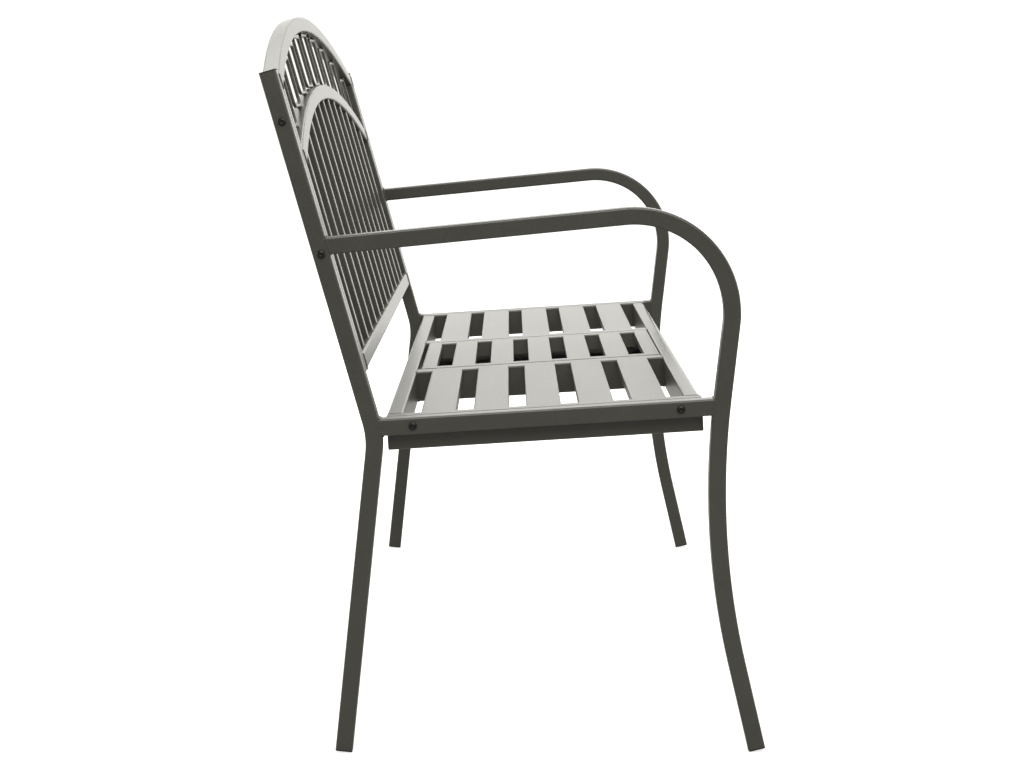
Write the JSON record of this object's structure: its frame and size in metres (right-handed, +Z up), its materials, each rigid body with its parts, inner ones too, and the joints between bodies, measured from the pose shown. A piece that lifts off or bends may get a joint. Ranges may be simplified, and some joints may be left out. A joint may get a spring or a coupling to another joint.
{
  "type": "garden bench",
  "caption": "Steel slatted garden bench with arms, an arched back with rod loops and a slatted table in the seat that lifts on scissor legs.",
  "frame": {"origin": "on the ground, in the middle of the bench's length and depth", "axes": "+X along the bench towards the sitter's left hand, -Y to the front where the sitter faces, +Z up"},
  "size_m": [1.2566, 0.6632, 0.956],
  "materials": {
    "powder_coat": "semi-gloss dark bronze-grey powder coat",
    "black_plastic": "satin black moulded plastic",
    "zinc_steel": "bright zinc plating",
    "black_steel": "black-coated socket screws"
  },
  "bodies": {
    "bench_frame": {"left_rear_post": "powder_coat", "right_rear_post": "powder_coat", "left_arm_leg": "powder_coat", "right_arm_leg": "powder_coat", "left_seat_rail": "powder_coat", "right_seat_rail": "powder_coat", "foot_plugs": "black_plastic", "post_caps": "black_plastic", "back_top_arch": "powder_coat", "back_inner_arch": "powder_coat", "back_bottom_rail": "powder_coat", "left_back_stile": "powder_coat", "right_back_stile": "powder_coat", "back_slat_1": "powder_coat", "back_slat_2": "powder_coat", "back_slat_3": "powder_coat", "back_slat_4": "powder_coat", "back_slat_5": "powder_coat", "back_slat_6": "powder_coat", "back_slat_7": "powder_coat", "back_slat_8": "powder_coat", "back_slat_9": "powder_coat", "back_slat_10": "powder_coat", "back_slat_11": "powder_coat", "back_slat_12": "powder_coat", "back_loops": "powder_coat", "seat_rear_rail": "powder_coat", "seat_front_rail": "powder_coat", "seat_left_side": "powder_coat", "seat_right_side": "powder_coat", "left_divider": "powder_coat", "right_divider": "powder_coat", "left_seat_slat_1": "powder_coat", "left_seat_slat_2": "powder_coat", "left_seat_slat_3": "powder_coat", "left_seat_slat_4": "powder_coat", "left_seat_slat_5": "powder_coat", "right_seat_slat_1": "powder_coat", "right_seat_slat_2": "powder_coat", "right_seat_slat_3": "powder_coat", "right_seat_slat_4": "powder_coat", "right_seat_slat_5": "powder_coat", "slide_tracks": "powder_coat", "frame_bolts": "black_steel", "rivet_nuts": "zinc_steel"},
    "outer_leg_pair": {"outer_legs": "powder_coat", "leg_rivets": "zinc_steel", "upper_rollers": "black_plastic"},
    "inner_leg_pair": {"inner_legs": "powder_coat", "lower_rollers": "black_plastic"},
    "table": {"table_rear_bar": "powder_coat", "table_front_bar": "powder_coat", "table_left_bar": "powder_coat", "table_right_bar": "powder_coat", "table_slat_1": "powder_coat", "table_slat_2": "powder_coat", "table_slat_3": "powder_coat", "table_slat_4": "powder_coat", "table_slat_5": "powder_coat", "table_brackets": "powder_coat"}
  },
  "joints": [
    {"name": "table_lift", "type": "hinge", "parent": "bench_frame", "child": "outer_leg_pair", "pos_m": [0, 0.09433, 0.41127], "axis": [-1, 0, 0], "range_deg": [0, 42]},
    {"name": "leg_cross", "type": "hinge", "parent": "outer_leg_pair", "child": "inner_leg_pair", "pos_m": [0, -0.04988, 0.42625], "axis": [-1, 0, 0], "range_deg": [-84, 0]},
    {"name": "table_level", "type": "hinge", "parent": "inner_leg_pair", "child": "table", "pos_m": [0, 0.09508, 0.42355], "axis": [-1, 0, 0], "range_deg": [0, 42]}
  ],
  "couplings": [
    {"joint": "leg_cross", "follows": "table_lift", "ratio": -2},
    {"joint": "table_level", "follows": "table_lift", "ratio": 1}
  ]
}
